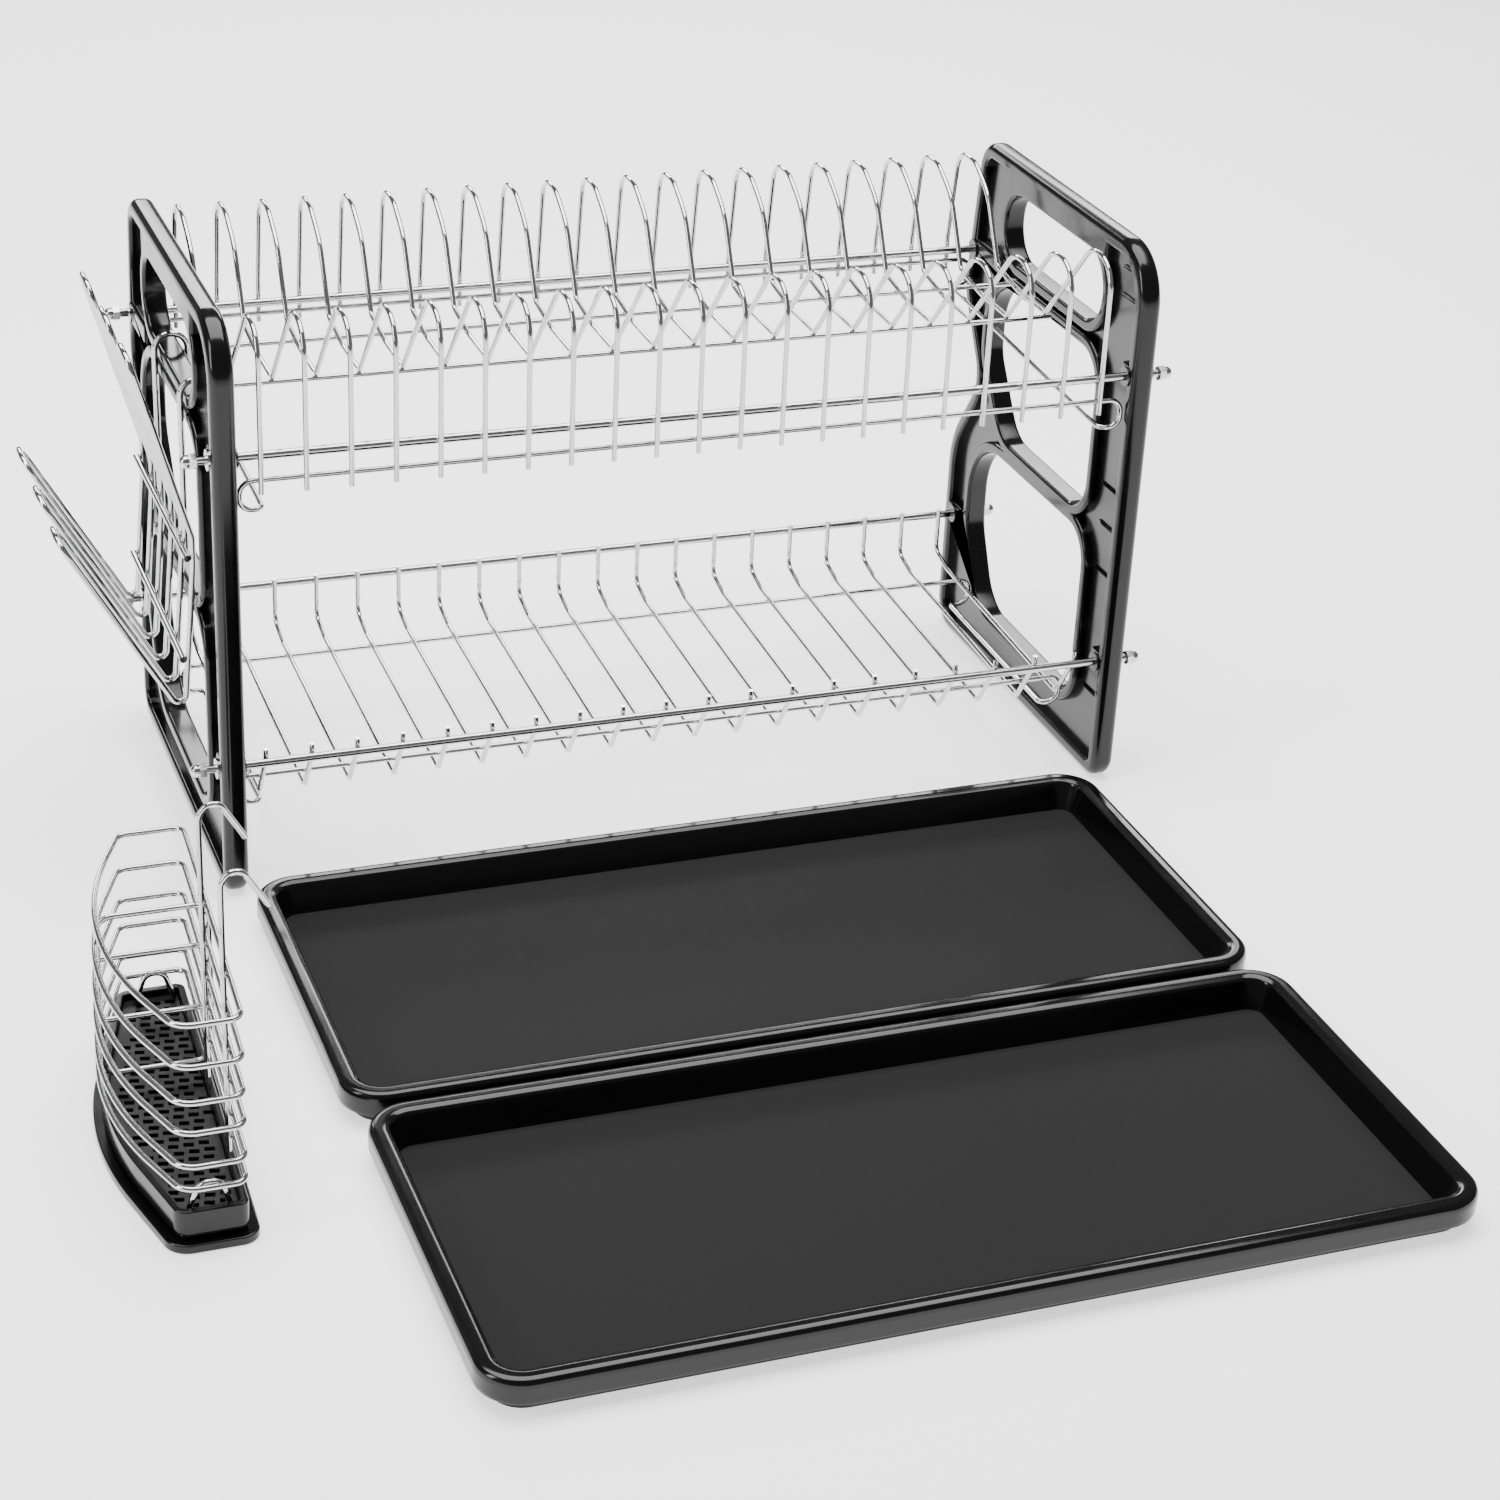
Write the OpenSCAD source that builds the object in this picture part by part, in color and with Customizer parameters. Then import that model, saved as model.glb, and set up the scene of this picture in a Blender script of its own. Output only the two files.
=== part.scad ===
// Two-tier dish drying rack with a clip-on mug rack, a cutlery holder and two drip trays.
// Two moulded plastic side panels are tied together by four long studs with acorn nuts.
// Bent wire tiers hang between the panels: plates stand in the wires of each tier.
// Millimetres, +Z up, X along the rack, +Y towards its back, all feet on z = 0.
// The modules measure from the floor midway between the side panels, and placed() then
// moves every piece so that the origin is under the middle of the whole set.

/* [Side panels] */
// outside width over both side panels, along X
rack_length = 560; // [400:1:700]
// thickness of each side panel, along X
panel_thickness = 14; // [8:0.5:20]
// height of the side panels
panel_height = 344; // [250:1:400]
// front edge of the side panels, along Y
panel_front = -124; // [-160:1:-100]
// width of the moulded rim around a side panel
rim_width = 10; // [6:0.5:14]
// width of the raised lip around each window
lip_width = 7.5; // [4:0.5:10]
// thickness of the thin web between rim and lips
web_thickness = 3; // [2:0.5:6]

/* [Studs] */
// diameter of the four tie studs
stud_diameter = 5; // [4:0.1:8]
// length of each tie stud
stud_length = 586; // [420:1:726]
// depth and height of the upper rear stud, as [y, z]
stud_upper_rear = [113, 270];
// depth and height of the upper front stud, as [y, z]
stud_upper_front = [-113, 266];
// depth and height of the lower rear stud, as [y, z]
stud_lower_rear = [113, 84];
// depth and height of the lower front stud, as [y, z]
stud_lower_front = [-111, 78];
// outside diameter of the washers
washer_diameter = 12; // [8:0.5:18]
// thickness of the washers
washer_thickness = 1.2; // [0.8:0.1:2]
// width of the acorn nuts across their flats
nut_flats = 8; // [7:0.5:13]

/* [Wire tiers] */
// diameter of the tier wires
wire_diameter = 3; // [2:0.1:5]
// number of plate wires in the upper tier
upper_count = 21; // [11:1:31]
// spacing of the upper plate wires, along X
upper_pitch = 25.05; // [18:0.05:35]
// number of plate wires in the lower tier
lower_count = 20; // [11:1:31]
// spacing of the lower plate wires, along X
lower_pitch = 26.6; // [18:0.05:35]

/* [Mug rack] */
// diameter of the mug rack wire
mug_wire = 3.5; // [2.5:0.1:5]
// distance between neighbouring mug arms, along Y
mug_pitch = 30; // [22:1:40]
// depth of the middle of the mug rack, along Y
mug_centre = 4.5; // [-20:0.5:20]

/* [Cutlery holder] */
// diameter of the cutlery basket wire
basket_wire = 3; // [2:0.1:5]
// height of the cutlery basket's top ring
basket_top = 125; // [80:1:160]
// height of the drip cup under the basket
cup_height = 21; // [12:1:40]

/* [Drip trays] */
// length of each drip tray, along X
tray_length = 520; // [300:1:600]
// depth of each drip tray, along Y
tray_depth = 236; // [150:1:300]
// height of each drip tray
tray_height = 21; // [12:0.5:35]
// middle of the rear tray, as [x, y]
tray_rear_at = [-10.5, -257.9];
// middle of the front tray, as [x, y]
tray_front_at = [-7, -498.8];

/* [Hidden] */
$fn = 96;
half = rack_length / 2;
inner_face = half - panel_thickness;
stud_r = stud_diameter / 2;
wire_r = wire_diameter / 2;
weld = 0.3;
studs = [stud_upper_rear, stud_upper_front, stud_lower_rear, stud_lower_front];
upper_xs = [for (i = [0 : upper_count - 1]) (i - (upper_count - 1) / 2) * upper_pitch - 2];
lower_xs = [for (i = [0 : lower_count - 1]) (i - (lower_count - 1) / 2) * lower_pitch + 1];

// Corner lists below are [across, up, radius], counter-clockwise.
panel_outline = [[panel_front, 0, 14], [129, 0, 20], [129.5, 135, 60], [93, 187, 22],
                 [126.5, 240, 40], [114, panel_height, 20], [panel_front, panel_height, 35]];
handle_window = [[-71, 280, 21], [69, 280, 21], [69, 324, 21], [-71, 324, 21]];
middle_window = [[-74, 161, 22], [50, 162, 30], [84, 208, 22], [84, 263, 36], [-74, 263, 22]];
lower_window = [[-78, 35, 22], [66, 36, 34], [91, 85, 40], [91, 149, 40], [-78, 149, 22]];
// Solid blocks behind the washers, as [y low, z low, y high, z high].
bosses = [[69, 263, 122, 277], [-122, 259, -106, 273], [96, 77, 126, 91], [-122, 71, -104, 85]];
// Heights of the short moulded ribs on the front web.
web_ribs = [51, 132, 162, 187, 308, 325];

// Upper plate wire, as [y, z, radius], from its rear foot to its front foot.
upper_profile = [[117, 257, 0], [117, 278, 40], [108, 338, 14], [84, 338, 18], [60, 324, 40], [38, 284.5, 5],
                 [5, 279.5, 30], [-34, 279, 5], [-88, 338, 17], [-117, 338, 18], [-117, 245, 0]];
// Lower plate wire.
lower_profile = [[109, 89, 0], [109, 60, 7], [88, 55, 25], [-86, 47.5, 4], [-107, 78, 12], [-107, 84.5, 0]];
rail_b = [114, 263];
rail_c = [20, 279.2];
rail_d = [-33.5, 276.3];
rail_f = [-114, 252];
rail_h = [75, 51.6];
rail_j = [-89, 59];

// Middle of the whole set's footprint, as [x, y].
set_middle = [-48.545, -243.685];

function unit(v) = v / norm(v);
function left_of(v) = [-v[1], v[0]];
function at(p) = [p[0], p[1], p[2]];
function flat(p) = [p[0], p[1]];
function turn(a, b) = acos(max(-1, min(1, a * b)));
function heading(c, i) = unit(flat(c[(i + 1) % len(c)]) - flat(c[i]));
function behind(i, n) = (i + n - 1) % n;

// A corner list moved inwards by d: convex corners tighten and hollow ones open.
function inset(c, d) = [for (i = [0 : len(c) - 1])
  let (a = heading(c, behind(i, len(c))), b = heading(c, i), s = cross(a, b) > 0 ? 1 : -1,
       v = flat(c[i]) + (left_of(a) + left_of(b)) * d / (1 + a * b))
  [v[0], v[1], max(0.5, c[i][2] - s * d)]];

// A flat shape with true arcs at the corners of a corner list. Each arc is 0.003 mm too wide,
// so that it crosses the straights at its ends and never only touches them.
module rounded(c) {
  n = len(c);
  head = [for (i = [0 : n - 1]) heading(c, i)];
  bend = [for (i = [0 : n - 1]) cross(head[behind(i, n)], head[i]) > 0 ? 1 : -1];
  back = [for (i = [0 : n - 1]) c[i][2] * tan(turn(head[behind(i, n)], head[i]) / 2)];
  start = [for (i = [0 : n - 1]) flat(c[i]) - head[behind(i, n)] * back[i]];
  end = [for (i = [0 : n - 1]) flat(c[i]) + head[i] * back[i]];
  centre = [for (i = [0 : n - 1]) start[i] + left_of(head[behind(i, n)]) * c[i][2] * bend[i]];
  root = [for (i = [0 : n - 1]) min(0.9, 3 / c[i][2])];
  difference() {
    union() {
      polygon([for (i = [0 : n - 1]) each [start[i], end[i]]]);
      for (i = [0 : n - 1]) if (bend[i] > 0) intersection() {
        translate(centre[i]) circle(r = c[i][2] + 0.003);
        polygon([start[i] + (centre[i] - start[i]) * root[i], start[i], flat(c[i]), end[i],
                 end[i] + (centre[i] - end[i]) * root[i]]);
      }
    }
    for (i = [0 : n - 1]) if (bend[i] < 0) translate(centre[i]) circle(r = c[i][2] - 0.003);
  }
}

// Moves a finished piece into the set's own frame.
module placed() {
  translate([-set_middle[0], -set_middle[1], 0]) children();
}

// A flat [y, z] shape given a thickness along +X from x.
module slab_x(x, h) {
  translate([x, 0, 0]) rotate([90, 0, 90]) linear_extrude(h) children();
}

// A rod along X at [y, z].
module rod_x(x0, x1, yz, r) {
  translate([x0, yz[0], yz[1]]) rotate([0, 90, 0]) cylinder(h = x1 - x0, r = r);
}

// A straight length of wire from a to b, run on by e at its bent ends so that the bends take it in.
module straight(a, b, r, e = [0, 0]) {
  d = unit(b - a);
  translate(a - d * e[0]) rotate([0, acos(d[2]), atan2(d[1], d[0])])
    cylinder(h = norm(b - a) + e[0] + e[1], r = r);
}

// The bend of a wire at p, from direction a to direction b.
module elbow(p, a, b, bend_r, r) {
  th = turn(a, b);
  x = -unit(b - a * (a * b));
  z = cross(x, a);
  c = p - a * (bend_r * tan(th / 2)) - x * bend_r;
  multmatrix([[x[0], a[0], z[0], c[0]], [x[1], a[1], z[1], c[1]], [x[2], a[2], z[2], c[2]]])
    rotate_extrude(angle = th) translate([bend_r, 0]) circle(r = r + 0.02);
}

// A bent wire through points [x, y, z, bend radius].
module wire(p, r, closed = false) {
  n = len(p);
  head = [for (i = [0 : n - 1]) unit(at(p[(i + 1) % n]) - at(p[i]))];
  bend = [for (i = [0 : n - 1]) !closed && (i == 0 || i == n - 1) ? 0 : turn(head[behind(i, n)], head[i])];
  back = [for (i = [0 : n - 1]) bend[i] > 0 ? p[i][3] * tan(bend[i] / 2) : 0];
  for (i = [0 : closed ? n - 1 : n - 2]) {
    j = (i + 1) % n;
    straight(at(p[i]) + head[i] * back[i], at(p[j]) - head[i] * back[j], r,
             [bend[i] > 0 ? 0.1 : 0, bend[j] > 0 ? 0.1 : 0]);
  }
  for (i = [0 : n - 1]) if (bend[i] > 0) elbow(at(p[i]), head[behind(i, n)], head[i], p[i][3], r);
}

// A closed ring of one flat profile, [out from the corner's axis, up], round a rounded rectangle.
module rim_sweep(length, depth, corner) {
  a = length / 2 - corner;
  b = depth / 2 - corner;
  for (k = [[a, b, 0], [-a, b, 90], [-a, -b, 180], [a, -b, 270]])
    translate([k[0], k[1], 0]) rotate(k[2]) rotate_extrude(angle = 90) children();
  for (s = [0, 180]) rotate(s) {
    translate([a, b, 0]) rotate([90, 0, 0]) linear_extrude(2 * b) children();
    translate([-a, b, 0]) rotate([90, 0, 90]) linear_extrude(2 * a) children();
  }
}

// ---- side panels ----
module panel_body() {
  pocket = (panel_thickness - web_thickness) / 2;
  difference() {
    slab_x(inner_face, panel_thickness) rounded(panel_outline);
    for (w = [handle_window, middle_window, lower_window])
      slab_x(inner_face - 1, panel_thickness + 2) rounded(w);
    for (x = [inner_face - 1, half - pocket]) slab_x(x, pocket + 1) difference() {
      rounded(inset(panel_outline, rim_width));
      for (w = [handle_window, middle_window, lower_window]) rounded(inset(w, -lip_width));
      translate([-71, 320]) square([140, 20]);
      for (b = bosses) translate([b[0], b[1]]) square([b[2] - b[0], b[3] - b[1]]);
    }
    for (s = studs) rod_x(inner_face - 1, half + 1, s, stud_r + 0.1);
  }
  for (x = [inner_face + pocket - 1.2, half - pocket - 0.01], z = web_ribs)
    slab_x(x, 1.21) translate([panel_front + rim_width - 0.5, z]) square([26, 1.6]);
}

module panel_right() {
  placed() color("#1b1b1c") panel_body();
}

module panel_left() {
  placed() color("#1b1b1c") mirror([1, 0, 0]) panel_body();
}

// ---- tie studs and their hardware ----
module stud(yz) {
  placed() color("#d8d8da") rod_x(-stud_length / 2, stud_length / 2, yz, stud_r);
}

module stud_upper_rear() {
  stud(stud_upper_rear);
}

module stud_upper_front() {
  stud(stud_upper_front);
}

module stud_lower_rear() {
  stud(stud_lower_rear);
}

module stud_lower_front() {
  stud(stud_lower_front);
}

module washer_at(x, yz) {
  difference() {
    rod_x(x, x + washer_thickness, yz, washer_diameter / 2);
    rod_x(x - 1, x + washer_thickness + 1, yz, stud_r + 0.1);
  }
}

module washers_inner() {
  placed() color("#d8d8da") for (s = studs) {
    washer_at(inner_face - washer_thickness, s);
    washer_at(-inner_face, s);
  }
}

module washers_outer() {
  placed() color("#d8d8da") for (s = studs) {
    washer_at(half, s);
    washer_at(-half - washer_thickness, s);
  }
}

// Domed nut pointing along +Z, with its blind thread bore.
module acorn_nut() {
  dome = nut_flats / 2 - 0.3;
  difference() {
    union() {
      cylinder(h = 3.8, r = nut_flats / 2 / cos(30), $fn = 6);
      translate([0, 0, 3.8]) cylinder(h = 1.4, r = dome);
      translate([0, 0, 5.2]) intersection() {
        sphere(r = dome);
        cylinder(h = dome + 1, r = dome + 1);
      }
    }
    translate([0, 0, -1]) cylinder(h = 7.2, r = stud_r + 0.05);
  }
}

module acorn_nuts() {
  placed() color("#e0e0e2") for (s = studs, side = [-1, 1])
    translate([side * (half + 7), s[0], s[1]]) rotate([0, 90 * side, 0]) acorn_nut();
}

// ---- upper tier ----
module plate_wire(x, profile) {
  wire([for (q = profile) [x, q[0], q[1], q[2]]], wire_r);
}

module upper_wires() {
  placed() color("#d8d8da") for (x = upper_xs) plate_wire(x, upper_profile);
}

// Rail along the back, a small curl at each end, and a side wire below the plate wires.
module upper_ring() {
  e = inner_face - 1.9;
  s = e - 13;
  b = rail_b;
  f = rail_f;
  placed() color("#d8d8da") wire([[e, b[0], b[1], 8], [-e, b[0], b[1], 8], [-e, b[0], b[1] - 17, 7],
                         [-s, b[0], b[1] - 17, 5], [-s, f[0], f[1] - 17, 5], [-e, f[0], f[1] - 17, 7],
                         [-e, f[0], f[1], 8], [e, f[0], f[1], 8], [e, f[0], f[1] - 17, 7],
                         [s, f[0], f[1] - 17, 5], [s, b[0], b[1] - 17, 5], [e, b[0], b[1] - 17, 7]],
                        wire_r, closed = true);
}

module upper_rail_rear() {
  placed() color("#d8d8da") rod_x(upper_xs[0] - 4, upper_xs[upper_count - 1] + 4, rail_c, wire_r);
}

module upper_rail_front() {
  placed() color("#d8d8da") rod_x(upper_xs[0] - 4, upper_xs[upper_count - 1] + 4, rail_d, wire_r);
}

// ---- lower tier ----
module lower_wires() {
  placed() color("#d8d8da") for (x = lower_xs) plate_wire(x, lower_profile);
}

module lower_ring() {
  e = inner_face - 1.9;
  s = e - 12.5;
  f = half - 26;
  g = half - 38;
  h = rail_h;
  j = rail_j;
  placed() color("#d8d8da") wire([[e, h[0], h[1], 7], [-e, h[0], h[1], 7], [-e, h[0], h[1] - 17, 7],
                         [-s, h[0], h[1] - 17, 4], [-s, j[0], j[1] - 17, 4], [-e, j[0], j[1] - 17, 7],
                         [-e, j[0], j[1], 7], [f, j[0], j[1], 7], [f, j[0], j[1] - 17, 7],
                         [g, j[0], j[1] - 17, 4], [s, h[0], h[1] - 17, 4], [e, h[0], h[1] - 17, 7]],
                        wire_r, closed = true);
}

// ---- mug rack on the left panel ----
mug_r = mug_wire / 2;
mug_bar_r = 2;
mug_face = -half - mug_r - 0.65;
// One mug arm, as [x, z, radius], from the lower tip, round the foot and up to the upper tip.
mug_profile = [[-356, 207, 12], [-295, 101.5, 4], [-289, 103.5, 4], [mug_face, 186, 30], [mug_face, 203, 12],
               [-314, 311, 12]];

module mug_loop(y) {
  p = mug_profile;
  n = len(p) - 1;
  h = mug_pitch / 2;
  wire([for (i = [0 : n]) [p[i][0], y - h, p[i][1], p[i][2]],
        for (i = [0 : n]) [p[n - i][0], y + h, p[n - i][1], p[n - i][2]]], mug_r, closed = true);
}

module mug_loops() {
  placed() color("#d8d8da") for (k = [-1, 0, 1]) mug_loop(mug_centre + k * 2 * mug_pitch);
}

// Each bar is welded across the outside of the arms, as [x, z].
module mug_bars() {
  reach = mug_r + mug_bar_r - weld;
  placed() color("#d8d8da") for (b = [[-286.8 - reach, 129], [mug_face - reach, 191]])
    translate([b[0], mug_centre + 77, b[1]]) rotate([90, 0, 0]) cylinder(h = 154, r = mug_bar_r);
}

module mug_hooks() {
  mid = -half + panel_thickness / 2;
  arch = mid - mug_face;
  top = 278.6 + arch;
  placed() color("#d8d8da") for (y = [-50, 24])
    wire([[mid - arch, y, 186, 0], [mid - arch, y, top, arch - 0.3], [mid + arch, y, top, arch - 0.3],
          [mid + arch, y, 270, 0]], mug_r);
}

// ---- cutlery holder ----
basket_r = basket_wire / 2;
basket_front = -447;
// Height and back edge of each ring, as [z, y].
rings = [[33, -246], [46, -247], [65, -248], [82, -250], [102, -253], [basket_top, -258]];
cup_outline = [[-336, -447.5, 5], [-327, -239.5, 5], [-363, -239.5, 8], [-395, -350, 200], [-371, -447.5, 8]];

// Straight side towards the rack, at depth y.
function basket_side(y) = -337 + 10 * (y - basket_front) / 200;
// Bulged side of the cup away from the rack, at depth y.
function cup_bulge(y) = -386 + 0.0018 * pow(y + 355, 2);

module basket_rings() {
  placed() color("#d8d8da") for (q = rings)
    wire([[basket_side(basket_front), basket_front, q[0], 7], [basket_side(q[1]), q[1], q[0], 6],
          [-361, q[1], q[0], 7], [-402, -352, q[0], 190], [-368, basket_front, q[0], 12]],
         basket_r, closed = true);
}

module basket_divider() {
  y = -322;
  x = basket_side(y) + basket_wire - weld;
  placed() color("#d8d8da") {
    wire([[-384, y, 115.5, 8], [x, y, 115.5, 8], [x, y, 24, 8], [-384, y, 24, 8]], basket_r, closed = true);
    for (z = [56, 92]) straight([-384, y, z], [x, y, z], basket_r);
  }
}

module basket_hooks() {
  placed() color("#d8d8da") for (y = [-407, -339]) {
    x = basket_side(y) - basket_wire + weld;
    wire([[x, y, 25, 0], [x, y, 175, 8], [x + 8, y, 185, 6], [x + 23, y, 160, 0]], basket_r);
  }
}

module drip_cup() {
  placed() color("#1b1b1c") difference() {
    union() {
      linear_extrude(5) rounded(inset(cup_outline, -5));
      linear_extrude(8) rounded(inset(cup_outline, 2.5));
      translate([0, 0, 7]) linear_extrude(cup_height - 7) rounded(cup_outline);
    }
    translate([0, 0, 3]) linear_extrude(cup_height) rounded(inset(cup_outline, 4));
  }
}

module drip_grid() {
  z = cup_height - 6;
  placed() color("#2c2c2e") difference() {
    translate([0, 0, z]) linear_extrude(2) rounded(inset(cup_outline, 4.4));
    translate([0, 0, z - 1]) linear_extrude(4) for (k = [0 : 29], c = [0 : 6]) {
      y = -436.5 + 6.4 * k;
      x = -384 + 7.6 * c + (k % 2) * 1.6;
      if (x - 3.5 > cup_bulge(y) + 4.5 && x + 3.5 < basket_side(y) - 2)
        translate([x, y]) rotate(-12) square([5.2, 3.4], center = true);
    }
  }
}

// Feet of the grid that stand it on the cup's floor.
module grid_feet() {
  placed() color("#2c2c2e") for (q = [[-365, -436], [-344, -436], [-357, -251], [-337, -251]])
    translate([q[0], q[1], 3]) cylinder(h = cup_height - 9, r = 2.4);
}

// Arched feet welded inside the lowest ring, standing on the grid.
module basket_feet() {
  z = cup_height - 3.1;
  top = rings[0][0] + 1.5;
  h = 10;
  placed() color("#d8d8da") for (q = [[-354.5, -440.5, -444.3], [-344, -247.5, -248.7]])
    wire([[q[0] - h, q[1], z, 0], [q[0] - 5, q[2], top, 6], [q[0] + 5, q[2], top, 6], [q[0] + h, q[1], z, 0]],
         basket_r);
}

// ---- drip trays ----
module tray() {
  corner = 24;
  rim = 11;
  h = tray_height;
  rim_sweep(tray_length, tray_depth, corner)
    polygon([[corner - 20, 0], [corner - 8, 0], [corner - 7, 7], [corner - 0.5, 7.5], [corner, 9],
             [corner, h - 3.5], [corner - 1, h - 1], [corner - 3.5, h], [corner - rim + 3, h],
             [corner - rim, h - 1.5], [corner - 16, 3], [corner - 20, 3]]);
  linear_extrude(3) rounded([for (q = [[-1, -1], [1, -1], [1, 1], [-1, 1]])
    [q[0] * (tray_length / 2 - 19), q[1] * (tray_depth / 2 - 19), 5]]);
}

module tray_rear() {
  placed() color("#1d1d1e") translate(tray_rear_at) tray();
}

module tray_front() {
  placed() color("#1d1d1e") translate(tray_front_at) tray();
}

panel_left();
panel_right();
stud_upper_rear();
stud_upper_front();
stud_lower_rear();
stud_lower_front();
washers_inner();
washers_outer();
acorn_nuts();
upper_wires();
upper_ring();
upper_rail_rear();
upper_rail_front();
lower_wires();
lower_ring();
mug_loops();
mug_bars();
mug_hooks();
basket_rings();
basket_divider();
basket_hooks();
drip_cup();
drip_grid();
grid_feet();
basket_feet();
tray_rear();
tray_front();
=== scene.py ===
import math
import bmesh
import bpy
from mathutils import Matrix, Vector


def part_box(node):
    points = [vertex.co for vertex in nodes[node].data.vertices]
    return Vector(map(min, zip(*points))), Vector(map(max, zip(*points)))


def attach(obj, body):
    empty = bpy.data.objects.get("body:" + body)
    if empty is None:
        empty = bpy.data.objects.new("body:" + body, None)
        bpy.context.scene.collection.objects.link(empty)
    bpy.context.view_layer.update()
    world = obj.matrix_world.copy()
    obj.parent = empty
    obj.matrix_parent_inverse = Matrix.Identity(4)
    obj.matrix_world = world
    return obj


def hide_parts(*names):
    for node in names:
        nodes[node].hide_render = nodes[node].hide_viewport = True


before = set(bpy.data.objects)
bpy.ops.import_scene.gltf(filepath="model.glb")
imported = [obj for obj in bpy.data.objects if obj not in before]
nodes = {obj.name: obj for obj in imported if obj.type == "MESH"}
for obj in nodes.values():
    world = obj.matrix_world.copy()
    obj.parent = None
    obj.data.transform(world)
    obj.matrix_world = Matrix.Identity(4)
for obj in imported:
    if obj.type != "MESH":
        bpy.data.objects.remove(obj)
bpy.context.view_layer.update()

# Radii of the moulded edges.
RIM_ROUND = 0.0052
PANEL_ROUND = 0.0024
TRAY_ROUND = 0.0011
CUP_ROUND = 0.0009

# Heights on a tray: its floor's upper face, and the top of its foot, under which edges stay sharp.
TRAY_FLOOR = 0.003
TRAY_FOOT = 0.0085

STUDS = ("stud_upper_rear", "stud_upper_front", "stud_lower_rear", "stud_lower_front")
WIRES = ("upper_wires", "upper_ring", "upper_rail_rear", "upper_rail_front", "lower_wires", "lower_ring",
         "mug_loops", "mug_bars", "mug_hooks", "basket_rings", "basket_divider", "basket_hooks",
         "basket_feet")

stud_centres = [(lo + hi) / 2 for lo, hi in (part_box(n) for n in STUDS)]
rack_middle = (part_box("panel_left")[0].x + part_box("panel_right")[1].x) / 2
panel_faces = [v.x - rack_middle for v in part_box("panel_right")]
panel_plane = sum(panel_faces) / 2
panel_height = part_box("panel_right")[1].z


# ---- materials ----
def grey(value):
    return (value, value, value)


def material(name, dark, light, metallic, rough, grain, bump=0.0, specular=0.5):
    """A finish whose colour, roughness and skin vary a little over the surface."""
    m = bpy.data.materials.new(name)
    m.use_nodes = True
    tree = m.node_tree
    tree.nodes.clear()
    out = tree.nodes.new("ShaderNodeOutputMaterial")
    skin = tree.nodes.new("ShaderNodeBsdfPrincipled")
    place = tree.nodes.new("ShaderNodeTexCoord")
    noise = tree.nodes.new("ShaderNodeTexNoise")
    noise.inputs["Scale"].default_value = grain
    noise.inputs["Detail"].default_value = 4.0
    tint = tree.nodes.new("ShaderNodeMix")
    tint.data_type = "RGBA"
    tint.inputs[6].default_value = (*dark, 1.0)
    tint.inputs[7].default_value = (*light, 1.0)
    wear = tree.nodes.new("ShaderNodeMapRange")
    wear.inputs["To Min"].default_value = rough[0]
    wear.inputs["To Max"].default_value = rough[1]
    skin.inputs["Metallic"].default_value = metallic
    skin.inputs["Specular IOR Level"].default_value = specular
    link = tree.links.new
    link(place.outputs["Object"], noise.inputs["Vector"])
    link(noise.outputs["Fac"], tint.inputs[0])
    link(noise.outputs["Fac"], wear.inputs["Value"])
    link(tint.outputs[2], skin.inputs["Base Color"])
    link(wear.outputs["Result"], skin.inputs["Roughness"])
    if bump:
        dimple = tree.nodes.new("ShaderNodeBump")
        dimple.inputs["Strength"].default_value = bump
        dimple.inputs["Distance"].default_value = 0.0004
        link(noise.outputs["Fac"], dimple.inputs["Height"])
        link(dimple.outputs["Normal"], skin.inputs["Normal"])
    link(skin.outputs["BSDF"], out.inputs["Surface"])
    return m


gloss_black = material("gloss_black", grey(0.002), grey(0.003), 0.0, (0.10, 0.18), 60.0, 0.0, 0.34)
web_black = material("web_black", grey(0.003), grey(0.005), 0.0, (0.16, 0.24), 40.0, 0.03, 0.38)
tray_black = material("tray_floor", grey(0.0150), grey(0.0160), 0.0, (0.72, 0.80), 300.0, 0.1, 0.1)
grid_black = material("grid_black", grey(0.004), grey(0.007), 0.0, (0.35, 0.45), 200.0, 0.1, 0.3)
chrome = material("chrome_wire", grey(0.50), grey(0.60), 1.0, (0.06, 0.12), 120.0)
plated = material("plated_steel", grey(0.50), grey(0.60), 1.0, (0.10, 0.18), 180.0)
dark_steel = material("dark_steel", grey(0.05), grey(0.12), 1.0, (0.20, 0.40), 900.0)


# ---- which edges are rounded ----
def is_panel_edge(e):
    """True for a sharp edge of a panel's two outer faces, away from the stud holes."""
    a, b = (v.co for v in e.verts)
    if not any(all(abs(abs(p.x - rack_middle) - x) < 1e-5 for p in (a, b)) for x in panel_faces):
        return False
    mid = (a + b) / 2
    if any(math.hypot(mid.y - c.y, mid.z - c.z) < 0.004 for c in stud_centres):
        return False
    return e.calc_face_angle(0.0) > math.radians(50)


def panel_edges(edges):
    return [e for e in edges if is_panel_edge(e)]


def runs(edges):
    """Edges sorted into runs that share vertices."""
    left = set(edges)
    found = []
    while left:
        run = [left.pop()]
        for e in run:
            for v in e.verts:
                for n in v.link_edges:
                    if n in left:
                        left.discard(n)
                        run.append(n)
        found.append(run)
    return found


def panel_rim(edges):
    """The panel edges that run right round the panel's outline."""
    rim = set()
    for run in runs(panel_edges(edges)):
        heights = [v.co.z for e in run for v in e.verts]
        if max(heights) - min(heights) > 0.98 * panel_height:
            rim.update(run)
    return [e for e in edges if e in rim]


def tray_edges(edges):
    """The edges of a tray's rolled rim."""
    return [e for e in edges if min(v.co.z for v in e.verts) > TRAY_FOOT
            and e.calc_face_angle(0.0) > math.radians(18)]


def cup_edges(edges):
    """The sharp edges of the drip cup."""
    return [e for e in edges if e.calc_face_angle(0.0) > math.radians(50)]


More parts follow.
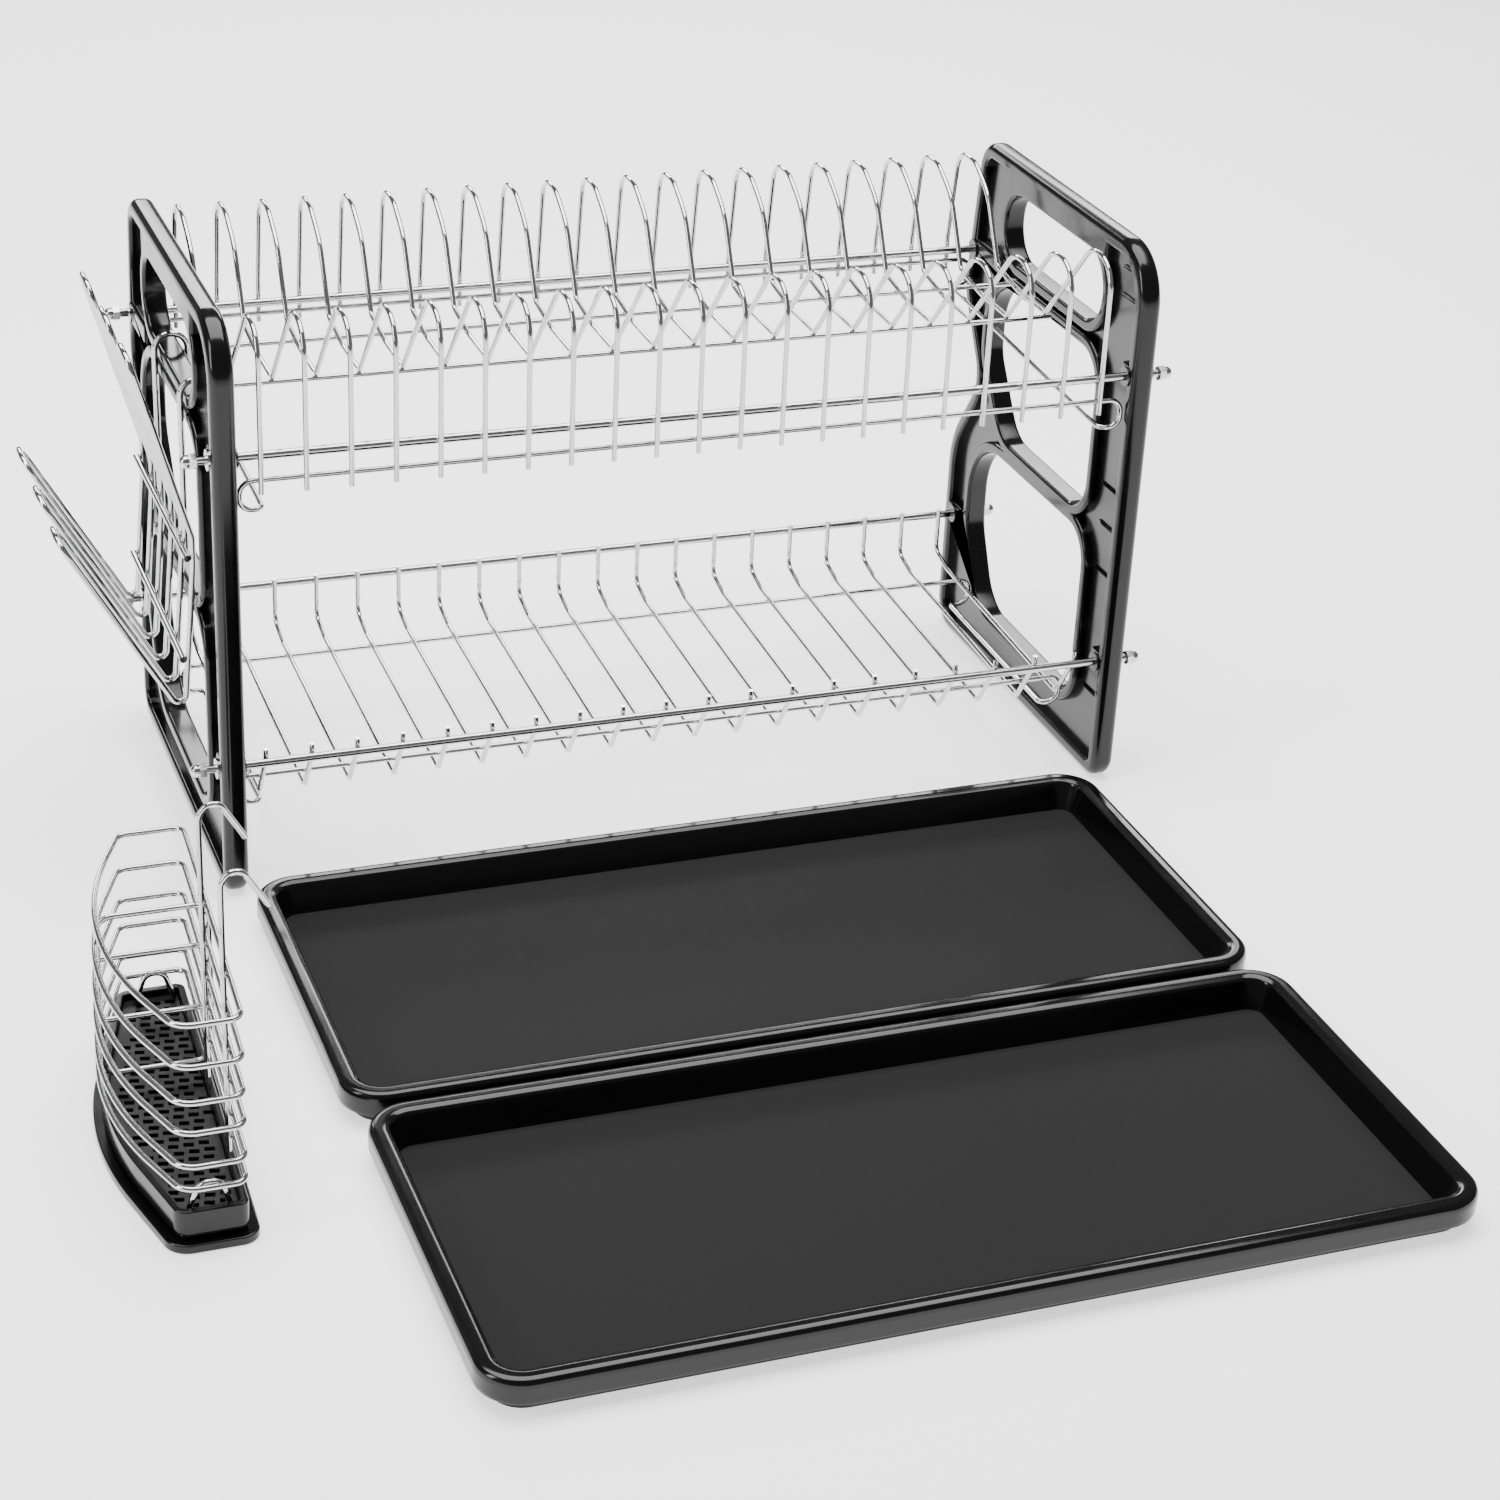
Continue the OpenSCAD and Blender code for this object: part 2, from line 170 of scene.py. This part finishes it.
def is_web(normal, centre):
    """True for the faces of the thin web, close to the panel's middle plane."""
    return abs(normal.x) > 0.95 and abs(abs(centre.x - rack_middle) - panel_plane) < 0.002


def is_tray_floor(normal, centre):
    return normal.z > 0.95 and abs(centre.z - TRAY_FLOOR) < 0.0005


# ---- pieces ----
def dress(name, finish):
    """Gives a CAD node its finish."""
    mesh = nodes[name].data
    mesh.materials.clear()
    mesh.materials.append(finish)


def moulding(name, body, rounds, finish, is_flat=None, flat_finish=None):
    """A moulded copy of a CAD node. Each of rounds is (pick, soft): pick() chooses from the mesh's
    edges, and the chosen ones are rounded by soft metres. Faces that is_flat() picks get flat_finish."""
    mesh = bpy.data.meshes.new(name + "_moulding")
    bm = bmesh.new()
    bm.from_mesh(nodes[name].data)
    bmesh.ops.remove_doubles(bm, verts=bm.verts, dist=2e-6)
    bmesh.ops.dissolve_limit(bm, angle_limit=math.radians(0.5), verts=bm.verts, edges=bm.edges)
    for pick, soft in rounds:
        edges = pick([e for e in bm.edges if len(e.link_faces) == 2])
        bmesh.ops.bevel(bm, geom=edges, offset=soft, offset_type="OFFSET", segments=6, profile=0.5,
                        affect="EDGES", clamp_overlap=False)
        bm.normal_update()
    for face in bm.faces:
        face.smooth = True
        face.material_index = 1 if is_flat and is_flat(face.normal, face.calc_center_median()) else 0
    bm.to_mesh(mesh)
    bm.free()
    mesh.set_sharp_from_angle(angle=math.radians(32))
    mesh.materials.append(finish)
    if flat_finish:
        mesh.materials.append(flat_finish)
    piece = bpy.data.objects.new(name + "_moulding", mesh)
    bpy.context.collection.objects.link(piece)
    piece.modifiers.new("even shading", "WEIGHTED_NORMAL").keep_sharp = True
    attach(piece, body)
    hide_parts(name)


for name in ("panel_left", "panel_right"):
    moulding(name, "rack", [(panel_rim, RIM_ROUND), (panel_edges, PANEL_ROUND)],
             gloss_black, is_web, web_black)
for name in ("tray_rear", "tray_front"):
    moulding(name, name, [(tray_edges, TRAY_ROUND)], gloss_black, is_tray_floor, tray_black)
moulding("drip_cup", "cup", [(cup_edges, CUP_ROUND)], gloss_black)
for name in ("drip_grid", "grid_feet"):
    dress(name, grid_black)
for name in STUDS + ("washers_outer", "acorn_nuts"):
    dress(name, plated)
dress("washers_inner", dark_steel)
for name in WIRES:
    dress(name, chrome)


# ---- studio ----
white = bpy.data.materials.new("studio_white")
white.use_nodes = True
paper = white.node_tree.nodes["Principled BSDF"].inputs
paper["Base Color"].default_value = (*grey(0.92), 1.0)
paper["Roughness"].default_value = 0.8
paper["Emission Color"].default_value = (*grey(1.0), 1.0)
paper["Emission Strength"].default_value = 1.2
bpy.ops.mesh.primitive_plane_add(size=16.0, location=(0, 0, 0))
floor = bpy.context.object
floor.name = "floor"
floor.data.materials.append(white)

world = bpy.data.worlds.new("studio")
bpy.context.scene.world = world
world.use_nodes = True
sky = world.node_tree.nodes["Background"].inputs
sky["Color"].default_value = (*grey(1.0), 1.0)
sky["Strength"].default_value = 0.22


def softbox(name, at, aim, size, power):
    """A rectangular lamp at one point, facing another."""
    light = bpy.data.lights.new(name, "AREA")
    light.shape = "RECTANGLE"
    light.size, light.size_y = size
    light.energy = power
    box = bpy.data.objects.new(name, light)
    box.location = at
    turn = math.atan2(aim[1] - at[1], aim[0] - at[0])
    reach = math.hypot(aim[0] - at[0], aim[1] - at[1])
    box.rotation_euler = (math.atan2(reach, at[2] - aim[2]), 0.0, turn - math.pi / 2)
    bpy.context.collection.objects.link(box)


softbox("overhead", (0.05, 0.34, 2.2), (0.05, 0.14, 0.0), (2.4, 1.6), 110.0)
softbox("left", (-2.15, -0.36, 1.2), (0.05, 0.14, 0.1), (0.5, 1.6), 30.0)
softbox("back", (0.55, 2.44, 1.3), (0.05, 0.24, 0.2), (2.4, 0.5), 40.0)

# ---- camera ----
eye = bpy.data.cameras.new("camera")
eye.sensor_width = 36.0
eye.lens = 78.0
camera = bpy.data.objects.new("camera", eye)
camera.location = (-0.5405, -1.4813, 0.940)
camera.rotation_euler = (math.radians(62.69), math.radians(-2.57), math.radians(-19.99))
bpy.context.collection.objects.link(camera)
bpy.context.scene.camera = camera
